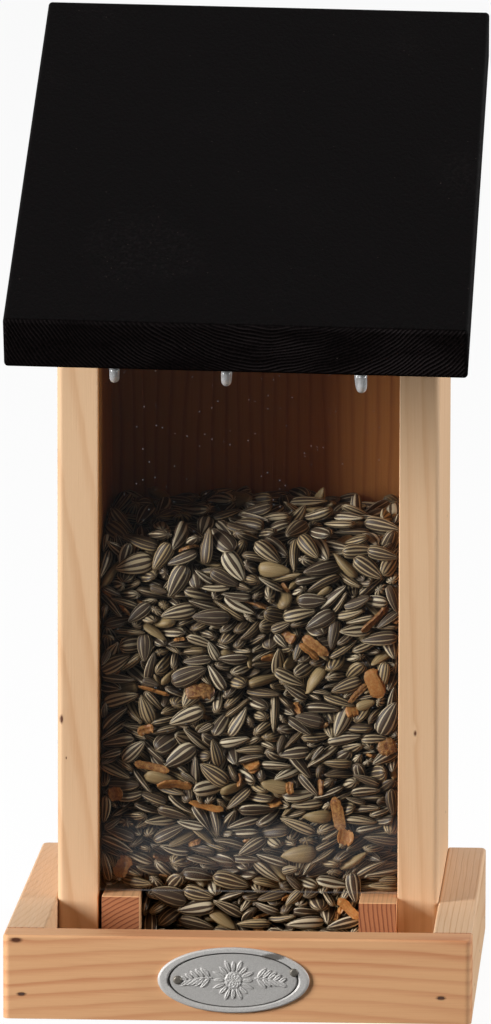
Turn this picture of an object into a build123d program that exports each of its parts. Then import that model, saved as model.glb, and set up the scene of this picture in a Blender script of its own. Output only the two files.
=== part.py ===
"""Wooden window feeder for sunflower seeds: a silo with a clear front on a railed tray, under a hinged roof.

Millimetres. The origin is the middle of the tray's underside, +X to the right, +Y to the back, +Z up.
"""

from build123d import *
import os
from math import cos, radians, sin, tan

os.makedirs("parts", exist_ok=True)

# Tray
tray_width = 135.0
tray_depth = 146.0
rail_height = 24.5
rail_thickness = 11.5
base_thickness = 10.0
corner_round = 2.0  # upright corners of the tray
arris = 0.8  # sanded edges of every board

# Silo, which stands on the base board between the side rails, flush with the tray's back
silo_depth = 90.0
panel_thickness = 12.0
back_panel_depth = 58.0  # from the silo's front face to the back panel, which is set in from the back
batten_height = 55.0  # at the top of the silo's back, for the hinges and the hanger
front_arris = 1.8  # outer front edge of each side panel

# Roof board: its underside rises to the back, and it sits a little to the right and lower on that side
roof_width = 132.0
roof_length = 170.0
roof_thickness = 16.3
roof_slope = 27.2
roof_roll = 1.0
roof_shift = 1.0
roof_height = 266.4  # underside, at the silo's back face
roof_gap = 0.3  # between the closed roof and the boards that it rests on
roof_round = 1.2

# Window, in a groove of each side panel, standing on two blocks
window_thickness = 2.5
window_setback = 4.0  # from the silo's front face
window_lift = 5.0  # how far it can rise under the closed roof
window_play = 0.3  # on every side of the window in its grooves
window_round = 0.25
groove_depth = 3.0
block_width = 11.0
block_length = 24.0
block_height = 16.0
block_arris = 0.4
left_block_gap = 1.2  # between the left block and its side panel
block_reach = {"left": 7.0, "right": 12.5}  # from the window's front face to the block's front end

# Badge on the front rail
badge_width = 43.7
badge_height = 19.1
badge_thickness = 1.1
badge_rim = 1.5
badge_rim_height = 0.4
badge_edge_round = 0.15
badge_spot = (-0.9, 12.2)  # centre, from the tray's middle and underside
badge_nail_spots = ((-16.1, -0.1), (17.4, 2.5))  # from the badge's centre
badge_nail_radius = 0.7
badge_nail_head_radius = 1.25
badge_nail_head_height = 0.8
badge_nail_head_round = 0.6
badge_nail_length = 10.0

# Screw hooks under the roof's overhang: place across the roof, turn about the screw, depth below the roof
hook_wire = 2.8
hook_bend = 3.7  # radius of the bend at the middle of the wire
hook_from_edge = 14.5  # from the roof's lower front edge, along the roof
hook_shank = 9.0  # length of thread in the roof
hook_tip_gap = 3.8  # between the roof and the end of the hook
hook_end_flat = 0.3  # radius of the flat left at each rounded end
hooks = {"left": (-34.5, 3.0, 10.7), "centre": (-2.2, 0.0, 10.9), "right": (35.4, 10.0, 12.1)}

# Butt hinges behind the roof's lower back edge
hinge_spots = {"left": -28.0, "right": 28.0}
hinge_length = 25.0
hinge_pin_radius = 0.95
hinge_bore_radius = 1.0
hinge_pin_head = {"radius": 1.45, "height": 0.6, "round": 0.4}
knuckle_radius = 2.0
knuckle_gap = 0.25
leaf_thickness = 1.0
leaf_width = 13.0
leaf_corner = 1.5
leaf_screw_reach = 8.0  # from the pin to the leaf's screws
leaf_screw_spacing = 15.0

# Hanger plate on the back
hanger_height = 226.0
hanger_width = 38.0
hanger_plate_height = 22.0
hanger_thickness = 1.2
hanger_corner = 4.0
keyhole_radius = 4.5
keyhole_slot_width = 4.4
keyhole_rise = 8.0
hanger_recess_depth = 5.0
hanger_recess_margin = 1.5  # around the keyhole
hanger_screw_spacing = 29.0

# Screws and brads
small_screw = {"head_radius": 2.2, "shank_radius": 1.1, "length": 8.0}
base_screw = {"head_radius": 3.5, "shank_radius": 1.75, "length": 30.0}
brad_width = 1.6
brad_thickness = 0.8
brad_length = 22.0
front_brad_places = ((-62.1, 7.2), (58.8, 7.6))  # across and up the front rail
side_brad_places = (-40.0, 10.0, 62.0)  # along each side rail
back_panel_brad_heights = (40.0, 130.0, 220.0)
batten_brad_heights = (220.0, 250.0)
base_screw_inset = 18.0  # from the front and back of each side panel

# Seeds
seed_level_front = 137.0
seed_level_back = 140.0
heap_height = 25.7  # just under the window
heap_slope = ((1.0, heap_height), (11.0, 20.0), (26.0, 14.0), (42.0, 12.0))  # reach and height
spread_depth = 30.0  # thin layer over the tray, in front of the blocks
spread_height = 4.0
spread_margin = 4.0  # how far it runs past the inside of the silo on each side
spread_corner = 8.0
spread_taper = 40.0  # degrees

# Places worked out from the sizes above
back_y = tray_depth / 2
front_y = -tray_depth / 2
silo_front_y = back_y - silo_depth
silo_middle_y = back_y - silo_depth / 2
silo_width = tray_width - 2 * rail_thickness
inner_half = silo_width / 2 - panel_thickness
panel_x = inner_half + panel_thickness / 2
rail_x = tray_width / 2 - rail_thickness / 2
rail_back_y = front_y + rail_thickness
back_panel_front_y = silo_front_y + back_panel_depth
back_panel_back_y = back_panel_front_y + panel_thickness
window_front_y = silo_front_y + window_setback
window_back_y = window_front_y + window_thickness
block_top = base_thickness + block_height
window_bottom = block_top + window_play
window_half_width = inner_half + groove_depth - window_play
seed_front_y = window_back_y + window_play + 0.1

# The hinge line's frame is turned by the roof's roll, and the roof's own plane is its underside
hinge_frame = Plane((0, back_y, roof_height)).rotated((0, roof_roll, 0))
roof_under = Plane(
    hinge_frame.origin,
    x_dir=hinge_frame.x_dir,
    z_dir=hinge_frame.z_dir * cos(radians(roof_slope)) - hinge_frame.y_dir * sin(radians(roof_slope)),
)
roof_seat = roof_under.offset(-roof_gap)
roof_over_window = (
    roof_height
    - (back_y - window_front_y) * tan(radians(roof_slope)) / cos(radians(roof_roll))
    - window_half_width * tan(radians(roof_roll))
)
window_height = roof_over_window - window_lift - window_play - window_bottom
# The pin stands outside the corner by the knuckle's radius from both faces
pin_step = knuckle_radius * tan(radians(roof_slope / 2))
pin_section = Plane(
    hinge_frame.from_local_coords((0, knuckle_radius, pin_step)),
    x_dir=hinge_frame.y_dir,
    z_dir=hinge_frame.x_dir,
)
# Both faces that the hinges are on start at the corner: local Y runs away from it along the leaf,
# and local Z points out of the wood.
roof_end = Plane(hinge_frame.origin, x_dir=-hinge_frame.x_dir, z_dir=roof_under.y_dir)
silo_back = Plane(hinge_frame.origin, x_dir=hinge_frame.x_dir, z_dir=hinge_frame.y_dir)


def screw(head_radius, shank_radius, length):
    """A countersunk screw that points down, with its flat head at the origin."""
    cone = head_radius - shank_radius
    with BuildPart() as body:
        with BuildSketch(Plane.XZ):
            with BuildLine():
                Polyline(
                    (0, 0),
                    (head_radius, 0),
                    (shank_radius, -cone),
                    (shank_radius, -length + 1.5 * shank_radius),
                    (0, -length),
                    close=True,
                )
            make_face()
        revolve(axis=Axis.Z)
    return body.part


def leaf_screw_planes(face, reach):
    """Where the hinge leaves on one face have their screws: planes on the leaves, facing out."""
    return [
        Plane(
            face.from_local_coords((x + dx, reach, leaf_thickness)), x_dir=face.x_dir, z_dir=face.z_dir
        )
        for x in hinge_spots.values()
        for dx in (-leaf_screw_spacing / 2, leaf_screw_spacing / 2)
    ]


roof_screws = leaf_screw_planes(roof_end, leaf_screw_reach - pin_step)
back_screws = leaf_screw_planes(silo_back, leaf_screw_reach - pin_step)
hinge_screw = screw(**small_screw)

# Middles of the brads, whose heads are flush with the outer faces
front_brad_spots = [(x, front_y + brad_length / 2, z) for x, z in front_brad_places]
side_brad_spots = [
    (side * (tray_width - brad_length) / 2, y, base_thickness / 2)
    for side in (-1, 1)
    for y in side_brad_places
]
back_brad_spots = [
    (side * (silo_width - brad_length) / 2, y, z)
    for side in (-1, 1)
    for y, heights in (
        ((back_panel_front_y + back_panel_back_y) / 2, back_panel_brad_heights),
        ((back_panel_back_y + back_y) / 2, batten_brad_heights),
    )
    for z in heights
]
base_screw_planes = [
    Plane((side * panel_x, y, 0), x_dir=(1, 0, 0), z_dir=(0, 0, -1))
    for side in (-1, 1)
    for y in (silo_front_y + base_screw_inset, back_y - base_screw_inset)
]
hanger_middle = hanger_height + keyhole_rise / 2
hanger_face = Plane((0, back_y + hanger_thickness, hanger_middle), x_dir=(-1, 0, 0), z_dir=(0, 1, 0))
long_screw = screw(**base_screw)


# Tray
with BuildPart() as base_board:
    with BuildSketch(Plane.XY):
        with Locations((0, (rail_back_y + back_y) / 2)):
            Rectangle(silo_width, back_y - rail_back_y)
    extrude(amount=base_thickness)
    with Locations(*base_screw_planes):
        add(long_screw, mode=Mode.SUBTRACT)
    with Locations(*side_brad_spots):
        Box(brad_length, brad_width, brad_thickness, mode=Mode.SUBTRACT)
base_board.part.label = "base_board"
export_step(base_board.part, "parts/base_board.step")

with BuildPart() as tray_front_rail:
    with BuildSketch(Plane.XY):
        with Locations((0, front_y + rail_thickness / 2)):
            Rectangle(tray_width, rail_thickness)
    extrude(amount=rail_height)
    fillet(tray_front_rail.edges().filter_by(Axis.Z).group_by(Axis.Y)[0], corner_round)
    fillet(tray_front_rail.faces().sort_by(Axis.Z)[-1].edges(), arris)
    with Locations(*front_brad_spots):
        Box(brad_width, brad_length, brad_thickness, mode=Mode.SUBTRACT)
    with Locations((badge_spot[0], front_y, badge_spot[1])):
        with Locations(*[(x, 0, z) for x, z in badge_nail_spots]):
            Cylinder(
                badge_nail_radius, 2 * badge_nail_length, rotation=(90, 0, 0), mode=Mode.SUBTRACT
            )
tray_front_rail.part.label = "tray_front_rail"
export_step(tray_front_rail.part, "parts/tray_front_rail.step")

for side, name in ((-1, "tray_left_rail"), (1, "tray_right_rail")):
    with BuildPart() as side_rail:
        with BuildSketch(Plane.XY):
            with Locations((side * rail_x, (rail_back_y + back_y) / 2)):
                Rectangle(rail_thickness, back_y - rail_back_y)
        extrude(amount=rail_height)
        outer_back = side_rail.edges().filter_by(Axis.Z).group_by(Axis.Y)[-1].sort_by(Axis.X)
        fillet(outer_back[0 if side < 0 else -1], corner_round)
        top_edges = side_rail.faces().sort_by(Axis.Z)[-1].edges()
        fillet(top_edges.sort_by(Axis.Y)[1:], arris)
        with Locations(*side_brad_spots):
            Box(brad_length, brad_width, brad_thickness, mode=Mode.SUBTRACT)
        with Locations(*front_brad_spots):
            Box(brad_width, brad_length, brad_thickness, mode=Mode.SUBTRACT)
    side_rail.part.label = name
    export_step(side_rail.part, f"parts/{name}.step")

# Silo
for side, name in ((-1, "left_side_panel"), (1, "right_side_panel")):
    with BuildPart() as side_panel:
        with BuildSketch(Plane.XY.offset(base_thickness)):
            with Locations((side * panel_x, silo_middle_y)):
                Rectangle(panel_thickness, silo_depth)
        extrude(amount=roof_height)
        split(bisect_by=roof_seat, keep=Keep.BOTTOM)
        for place, radius in ((-1, front_arris), (0, arris / 2)):
            front_edges = side_panel.edges().filter_by(Axis.Z).group_by(Axis.Y)[0]
            fillet(front_edges.sort_by(lambda edge: side * edge.center().X)[place], radius)
        with BuildSketch(Plane.XY.offset(block_top)):
            with Locations((side * inner_half, (window_front_y + window_back_y) / 2)):
                Rectangle(2 * groove_depth, window_thickness + 2 * window_play)
        extrude(amount=roof_height, mode=Mode.SUBTRACT)
        with Locations(*base_screw_planes):
            add(long_screw, mode=Mode.SUBTRACT)
        with Locations(*back_brad_spots):
            Box(brad_length, brad_width, brad_thickness, mode=Mode.SUBTRACT)
    side_panel.part.label = name
    export_step(side_panel.part, f"parts/{name}.step")

with BuildPart() as back_panel:
    with BuildSketch(Plane.XY.offset(base_thickness)):
        with Locations((0, (back_panel_front_y + back_panel_back_y) / 2)):
            Rectangle(2 * inner_half, panel_thickness)
    extrude(amount=roof_height)
    split(bisect_by=roof_seat, keep=Keep.BOTTOM)
    with Locations(*back_brad_spots):
        Box(brad_length, brad_width, brad_thickness, mode=Mode.SUBTRACT)
back_panel.part.label = "back_panel"
export_step(back_panel.part, "parts/back_panel.step")

with BuildPart() as back_batten:
    with BuildSketch(Plane.XY.offset(roof_height - batten_height)):
        with Locations((0, (back_panel_back_y + back_y) / 2)):
            Rectangle(2 * inner_half, back_y - back_panel_back_y)
    extrude(amount=batten_height + roof_thickness)
    split(bisect_by=roof_seat, keep=Keep.BOTTOM)
    with BuildSketch(Plane.XZ.offset(-back_y)):
        with Locations((0, hanger_middle)):
            SlotCenterToCenter(
                keyhole_rise, 2 * (keyhole_radius + hanger_recess_margin), rotation=90
            )
    extrude(amount=hanger_recess_depth, mode=Mode.SUBTRACT)
    with Locations(*back_screws):
        add(hinge_screw, mode=Mode.SUBTRACT)
    with Locations(hanger_face):
        with GridLocations(hanger_screw_spacing, 0, 2, 1):
            add(hinge_screw, mode=Mode.SUBTRACT)
    with Locations(*back_brad_spots):
        Box(brad_length, brad_width, brad_thickness, mode=Mode.SUBTRACT)
back_batten.part.label = "back_batten"
export_step(back_batten.part, "parts/back_batten.step")

# Window and its blocks
with BuildPart() as window:
    with BuildSketch(Plane.XY.offset(window_bottom)):
        with Locations((0, (window_front_y + window_back_y) / 2)):
            Rectangle(2 * window_half_width, window_thickness)
    extrude(amount=window_height)
    fillet(window.edges().filter_by(Axis.X), window_round)
window.part.label = "window"
export_step(window.part, "parts/window.step")

blocks = []
for side, name, gap in ((-1, "left", left_block_gap), (1, "right", 0.0)):
    with BuildPart() as block:
        with BuildSketch(Plane.XY.offset(base_thickness)):
            with Locations(
                (
                    side * (inner_half - gap - block_width / 2),
                    window_front_y - block_reach[name] + block_length / 2,
                )
            ):
                Rectangle(block_width, block_length)
        extrude(amount=block_height)
        fillet(block.faces().sort_by(Axis.Z)[-1].edges(), block_arris)
    block.part.label = f"{name}_window_block"
    export_step(block.part, f"parts/{block.part.label}.step")
    blocks.append(block.part)

# Hooks
hook_parts = []
for name, (x, turn, depth) in hooks.items():
    forward = -roof_under.y_dir * cos(radians(turn)) + roof_under.x_dir * sin(radians(turn))
    hook_plane = Plane(
        roof_under.from_local_coords((x, hook_from_edge - roof_length, 0)),
        x_dir=forward,
        z_dir=forward.cross(roof_under.z_dir),
    )
    bend_level = hook_bend + hook_wire / 2 - depth
    with BuildPart() as hook:
        with BuildLine(hook_plane) as hook_line:
            Line((0, hook_shank), (0, bend_level))
            ThreePointArc(
                (0, bend_level), (hook_bend, bend_level - hook_bend), (2 * hook_bend, bend_level)
            )
            Line((2 * hook_bend, bend_level), (2 * hook_bend, -hook_tip_gap))
        with BuildSketch(Plane(hook_line.line @ 0, z_dir=hook_line.line % 0)):
            Circle(hook_wire / 2)
        sweep()
        ends = hook.faces().filter_by(GeomType.PLANE)
        fillet(ends.edges(), hook_wire / 2 - hook_end_flat)
    hook.part.label = f"{name}_hook"
    export_step(hook.part, f"parts/{hook.part.label}.step")
    hook_parts.append(hook.part)

# Roof
with BuildPart() as roof_board:
    with BuildSketch(roof_under):
        with Locations((roof_shift, -roof_length / 2)):
            Rectangle(roof_width, roof_length)
    extrude(amount=roof_thickness)
    fillet(roof_board.edges(), roof_round)
    for hook_part in hook_parts:
        add(hook_part, mode=Mode.SUBTRACT)
    with Locations(*roof_screws):
        add(hinge_screw, mode=Mode.SUBTRACT)
roof_board.part.label = "roof_board"
export_step(roof_board.part, "parts/roof_board.step")


# Hinges
def hinge_leaf(section, direction, x, knuckles, screws):
    """A leaf with rolled knuckles, on the hinge at x. Direction says which way it runs from the pin."""
    whole = section.offset(x - hinge_length / 2)
    with BuildPart() as leaf:
        with BuildSketch(whole):
            with Locations((leaf_thickness / 2 - knuckle_radius, direction * leaf_width / 2)):
                Rectangle(leaf_thickness, leaf_width)
        extrude(amount=hinge_length)
        leaf_corners = leaf.edges().filter_by(lambda edge: abs(edge.length - leaf_thickness) < 1e-3)
        far = leaf_corners.sort_by(lambda edge: section.to_local_coords(edge.center()).Y * direction)[-2:]
        fillet(far, leaf_corner)
        with BuildSketch(whole):
            Circle(knuckle_radius + knuckle_gap)
        extrude(amount=hinge_length, mode=Mode.SUBTRACT)
        for start, end in knuckles:
            with BuildSketch(section.offset(x + start)):
                Circle(knuckle_radius)
                with Locations((leaf_thickness / 2 - knuckle_radius, direction * leaf_width / 4)):
                    Rectangle(leaf_thickness, leaf_width / 2)
            extrude(amount=end - start)
        with BuildSketch(whole):
            Circle(hinge_bore_radius)
        extrude(amount=hinge_length, mode=Mode.SUBTRACT)
        with Locations(*screws):
            add(hinge_screw, mode=Mode.SUBTRACT)
    return leaf.part


half_length = hinge_length / 2
middle_knuckle = half_length / 3
outer_knuckle = middle_knuckle + knuckle_gap
for name, x in hinge_spots.items():
    back_leaf = hinge_leaf(
        pin_section,
        -1,
        x,
        ((-half_length, -outer_knuckle), (outer_knuckle, half_length)),
        back_screws,
    )
    back_leaf.label = f"{name}_hinge_back_leaf"
    export_step(back_leaf, f"parts/{back_leaf.label}.step")

    roof_leaf = hinge_leaf(
        Plane(pin_section.origin, x_dir=roof_under.y_dir, z_dir=pin_section.z_dir),
        1,
        x,
        ((-middle_knuckle, middle_knuckle),),
        roof_screws,
    )
    roof_leaf.label = f"{name}_hinge_roof_leaf"
    export_step(roof_leaf, f"parts/{roof_leaf.label}.step")

    with BuildPart() as hinge_pin:
        with BuildSketch(pin_section.offset(x - half_length)):
            Circle(hinge_pin_radius)
        extrude(amount=hinge_length)
        for end, out in ((-half_length, -1), (half_length, 1)):
            with BuildSketch(pin_section.offset(x + end)):
                Circle(hinge_pin_head["radius"])
            extrude(amount=out * hinge_pin_head["height"])
        fillet(hinge_pin.faces().sort_by(Axis.X)[0].edges(), hinge_pin_head["round"])
        fillet(hinge_pin.faces().sort_by(Axis.X)[-1].edges(), hinge_pin_head["round"])
    hinge_pin.part.label = f"{name}_hinge_pin"
    export_step(hinge_pin.part, f"parts/{hinge_pin.part.label}.step")

with BuildPart() as roof_hinge_screws:
    with Locations(*roof_screws):
        add(hinge_screw)
roof_hinge_screws.part.label = "roof_hinge_screws"
export_step(roof_hinge_screws.part, "parts/roof_hinge_screws.step")

with BuildPart() as back_hinge_screws:
    with Locations(*back_screws):
        add(hinge_screw)
back_hinge_screws.part.label = "back_hinge_screws"
export_step(back_hinge_screws.part, "parts/back_hinge_screws.step")

# Hanger
with BuildPart() as hanger_plate:
    with BuildSketch(Plane.XZ.offset(-back_y)):
        with Locations((0, hanger_middle)):
            RectangleRounded(hanger_width, hanger_plate_height, hanger_corner)
        with Locations((0, hanger_height)):
            Circle(keyhole_radius, mode=Mode.SUBTRACT)
        with Locations((0, hanger_middle)):
            SlotCenterToCenter(keyhole_rise, keyhole_slot_width, rotation=90, mode=Mode.SUBTRACT)
    extrude(amount=-hanger_thickness)
    with Locations(hanger_face):
        with GridLocations(hanger_screw_spacing, 0, 2, 1):
            add(hinge_screw, mode=Mode.SUBTRACT)
hanger_plate.part.label = "hanger_plate"
export_step(hanger_plate.part, "parts/hanger_plate.step")

with BuildPart() as hanger_screws:
    with Locations(hanger_face):
        with GridLocations(hanger_screw_spacing, 0, 2, 1):
            add(hinge_screw)
hanger_screws.part.label = "hanger_screws"
export_step(hanger_screws.part, "parts/hanger_screws.step")

# Badge
field_face = Plane.XZ.offset(-front_y + badge_thickness - badge_rim_height)
with BuildPart() as badge_plate:
    with BuildSketch(Plane.XZ.offset(-front_y)):
        with Locations(badge_spot):
            Ellipse(badge_width / 2, badge_height / 2)
    extrude(amount=badge_thickness)
    with BuildSketch(field_face):
        with Locations(badge_spot):
            Ellipse(badge_width / 2 - badge_rim, badge_height / 2 - badge_rim)
    extrude(amount=badge_rim_height, mode=Mode.SUBTRACT)
    fillet(badge_plate.faces().filter_by(Axis.Y).sort_by(Axis.Y)[0].edges(), badge_edge_round)
    with BuildSketch(Plane.XZ.offset(-front_y)):
        with Locations(badge_spot):
            with Locations(*badge_nail_spots):
                Circle(badge_nail_radius)
    extrude(amount=badge_thickness, mode=Mode.SUBTRACT)
badge_plate.part.label = "badge_plate"
export_step(badge_plate.part, "parts/badge_plate.step")

with BuildPart() as badge_nails:
    with BuildSketch(field_face):
        with Locations(badge_spot):
            with Locations(*badge_nail_spots):
                Circle(badge_nail_radius)
    extrude(amount=-badge_nail_length)
    with BuildSketch(field_face):
        with Locations(badge_spot):
            with Locations(*badge_nail_spots):
                Circle(badge_nail_head_radius)
    extrude(amount=badge_nail_head_height)
    fillet(badge_nails.faces().filter_by(Axis.Y).group_by(Axis.Y)[0].edges(), badge_nail_head_round)
badge_nails.part.label = "badge_nails"
export_step(badge_nails.part, "parts/badge_nails.step")

# Screws and brads of the tray and silo
with BuildPart() as base_screws:
    with Locations(*base_screw_planes):
        add(long_screw)
base_screws.part.label = "base_screws"
export_step(base_screws.part, "parts/base_screws.step")

with BuildPart() as front_rail_brads:
    with Locations(*front_brad_spots):
        Box(brad_width, brad_length, brad_thickness)
front_rail_brads.part.label = "front_rail_brads"
export_step(front_rail_brads.part, "parts/front_rail_brads.step")

with BuildPart() as side_rail_brads:
    with Locations(*side_brad_spots):
        Box(brad_length, brad_width, brad_thickness)
side_rail_brads.part.label = "side_rail_brads"
export_step(side_rail_brads.part, "parts/side_rail_brads.step")

with BuildPart() as back_panel_brads:
    with Locations(*back_brad_spots):
        Box(brad_length, brad_width, brad_thickness)
back_panel_brads.part.label = "back_panel_brads"
export_step(back_panel_brads.part, "parts/back_panel_brads.step")

# Seeds: what fills the silo, and what has run out under the window
with BuildPart() as silo_seeds:
    with BuildSketch(Plane.YZ.offset(-inner_half)):
        with BuildLine():
            Polyline(
                (seed_front_y, base_thickness),
                (back_panel_front_y, base_thickness),
                (back_panel_front_y, seed_level_back),
                (seed_front_y, seed_level_front),
                close=True,
            )
        make_face()
    extrude(amount=2 * inner_half)
    for block_part in blocks:
        add(block_part, mode=Mode.SUBTRACT)
silo_seeds.part.label = "silo_seeds"
export_step(silo_seeds.part, "parts/silo_seeds.step")

heap_left = left_block_gap + block_width - inner_half
heap_right = inner_half - block_width
spread_back_y = window_front_y - block_reach["right"] - 0.5  # clear of the longer block
with BuildPart() as tray_seeds:
    with BuildSketch(Plane.YZ.offset(heap_left)):
        with BuildLine():
            Polyline(
                (seed_front_y, base_thickness),
                (seed_front_y, heap_height),
                *[(window_front_y - reach, height) for reach, height in heap_slope],
                (window_front_y - heap_slope[-1][0], base_thickness),
                close=True,
            )
        make_face()
    extrude(amount=heap_right - heap_left)
    with BuildSketch(Plane.XY.offset(base_thickness)):
        with Locations((0, spread_back_y - spread_depth / 2)):
            RectangleRounded(2 * (inner_half + spread_margin), spread_depth, spread_corner)
    extrude(amount=spread_height, taper=spread_taper)
tray_seeds.part.label = "tray_seeds"
export_step(tray_seeds.part, "parts/tray_seeds.step")
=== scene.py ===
"""Looks for a wooden window feeder: pine boards, a black roof, a clear window and striped seeds."""

import math
import random

import bmesh
import bpy
import numpy as np
from mathutils import Euler, Matrix, Vector


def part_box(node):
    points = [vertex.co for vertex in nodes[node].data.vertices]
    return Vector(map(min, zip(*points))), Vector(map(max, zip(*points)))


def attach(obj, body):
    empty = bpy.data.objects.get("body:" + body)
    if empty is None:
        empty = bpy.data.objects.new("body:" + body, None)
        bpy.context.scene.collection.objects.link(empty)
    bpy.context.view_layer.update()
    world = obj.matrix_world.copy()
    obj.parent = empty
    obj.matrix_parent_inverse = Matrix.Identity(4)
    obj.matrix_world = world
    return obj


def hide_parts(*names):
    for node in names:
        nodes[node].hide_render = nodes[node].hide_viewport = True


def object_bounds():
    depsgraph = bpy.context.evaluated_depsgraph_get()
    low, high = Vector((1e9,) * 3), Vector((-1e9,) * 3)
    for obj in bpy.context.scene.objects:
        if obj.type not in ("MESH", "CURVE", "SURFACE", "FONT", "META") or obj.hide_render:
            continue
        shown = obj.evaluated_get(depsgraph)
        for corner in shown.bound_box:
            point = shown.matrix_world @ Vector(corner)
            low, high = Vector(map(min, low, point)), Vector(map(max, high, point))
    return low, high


MM = 0.001
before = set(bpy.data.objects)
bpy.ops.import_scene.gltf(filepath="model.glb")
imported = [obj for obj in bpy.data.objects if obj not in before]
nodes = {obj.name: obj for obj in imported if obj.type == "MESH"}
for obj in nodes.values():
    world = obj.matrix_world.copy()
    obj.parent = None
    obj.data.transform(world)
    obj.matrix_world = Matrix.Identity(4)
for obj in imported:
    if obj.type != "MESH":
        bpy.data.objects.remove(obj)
cad_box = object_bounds()


def srgb(red, green, blue):
    """A colour given as 0 to 255 display values, as the linear RGBA that the shaders use."""
    parts = (red / 255, green / 255, blue / 255)
    return tuple(c / 12.92 if c <= 0.04045 else ((c + 0.055) / 1.055) ** 2.4 for c in parts) + (1.0,)


# ---------------------------------------------------------------- camera, light and floor

# The camera looks from a little to the right and above at a point in the plane of the tray's front
VIEW_YAW = math.radians(3.203)
VIEW_PITCH = math.radians(8.35)
VIEW_ROLL = math.radians(0.1095)
VIEW_DISTANCE = 2.43646
VIEW_LENS = 300.29  # mm, on a 36 mm sensor
VIEW_ACROSS = 0.002288
VIEW_HEIGHT = 0.1482

SURROUND_LIGHT = 0.06  # beside and in front of the feeder
BACKDROP_LIGHT = 0.9  # behind it
TABLE_LIGHT = 0.02
TABLE_REACH = 12.0
LIT_MIDDLE = (0, 0, 0.12)  # what both soft boxes face


def add_camera():
    """A long lens, so the feeder's upright edges stay nearly parallel."""
    aim = Vector((VIEW_ACROSS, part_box("tray_front_rail")[0].y, VIEW_HEIGHT))
    forward = Vector(
        (
            -math.sin(VIEW_YAW) * math.cos(VIEW_PITCH),
            math.cos(VIEW_YAW) * math.cos(VIEW_PITCH),
            -math.sin(VIEW_PITCH),
        )
    )
    level_right = forward.cross(Vector((0, 0, 1))).normalized()
    level_up = level_right.cross(forward)
    right = level_right * math.cos(VIEW_ROLL) + level_up * math.sin(VIEW_ROLL)
    up = right.cross(forward)
    data = bpy.data.cameras.new("camera")
    data.lens = VIEW_LENS
    data.sensor_width = 36
    data.clip_start, data.clip_end = 0.1, 50
    camera = bpy.data.objects.new("camera", data)
    turn = Matrix((right, up, -forward)).transposed().to_4x4()
    camera.matrix_world = Matrix.Translation(aim - forward * VIEW_DISTANCE) @ turn
    bpy.context.scene.collection.objects.link(camera)
    bpy.context.scene.camera = camera


def add_soft_box(name, place, size, power):
    """A rectangular light that faces the middle of the feeder."""
    data = bpy.data.lights.new(name, "AREA")
    data.shape = "RECTANGLE"
    data.size, data.size_y = size
    data.energy = power
    light = bpy.data.objects.new(name, data)
    light.location = place
    light.rotation_euler = (Vector(LIT_MIDDLE) - Vector(place)).to_track_quat("-Z", "Y").to_euler()
    bpy.context.scene.collection.objects.link(light)


def add_studio():
    """Two soft boxes, a white backdrop and a white table that takes only a faint shadow."""
    add_soft_box("left_light", (-1.83, -1.1, 0.64), (0.8, 0.95), 72)
    add_soft_box("right_light", (2.05, -0.24, 0.56), (0.4, 0.9), 32)
    world = bpy.data.worlds.new("surround")
    world.use_nodes = True
    surround = world.node_tree.nodes["Background"]
    path = world.node_tree.nodes.new("ShaderNodeLightPath")
    way = world.node_tree.nodes.new("ShaderNodeTexCoord")
    split = world.node_tree.nodes.new("ShaderNodeSeparateXYZ")
    behind = world.node_tree.nodes.new("ShaderNodeMapRange")
    level = world.node_tree.nodes.new("ShaderNodeMapRange")
    behind.inputs["From Min"].default_value = -0.1
    behind.inputs["From Max"].default_value = 0.7
    behind.inputs["To Min"].default_value = SURROUND_LIGHT
    behind.inputs["To Max"].default_value = BACKDROP_LIGHT
    join = world.node_tree.links.new
    join(way.outputs["Generated"], split.inputs[0])
    join(split.outputs["Y"], behind.inputs["Value"])
    join(behind.outputs[0], level.inputs["To Min"])
    join(path.outputs["Is Camera Ray"], level.inputs["Value"])
    join(level.outputs[0], surround.inputs["Strength"])
    surround.inputs["Color"].default_value = (1, 1, 1, 1)
    bpy.context.scene.world = world

    tree = Tree("white_table")
    seen = tree.node("ShaderNodeLightPath").outputs["Is Camera Ray"]
    glow = tree.ranged(seen, 0.0, 1.0, TABLE_LIGHT, 1.02)
    tree.mixed(
        tree.node("ShaderNodeEmission", {"Color": (1, 1, 1, 1), "Strength": glow}).outputs[0],
        tree.node("ShaderNodeBsdfDiffuse", {"Color": (0.9, 0.9, 0.9, 1)}).outputs[0],
        0.1,
    )
    mesh = bpy.data.meshes.new("table")
    turns = ((-1, -1), (1, -1), (1, 1), (-1, 1))
    corners = [(across * TABLE_REACH, back * TABLE_REACH, 0) for across, back in turns]
    mesh.from_pydata(corners, [], [(0, 1, 2, 3)])
    mesh.materials.append(tree.material)
    floor = bpy.data.objects.new("table", mesh)
    floor.location.z = cad_box[0].z - 0.0002
    bpy.context.scene.collection.objects.link(floor)
    view = bpy.context.scene.view_settings
    view.view_transform = "Standard"
    view.look = "None"


# ---------------------------------------------------------------- short ways to write materials


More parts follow.
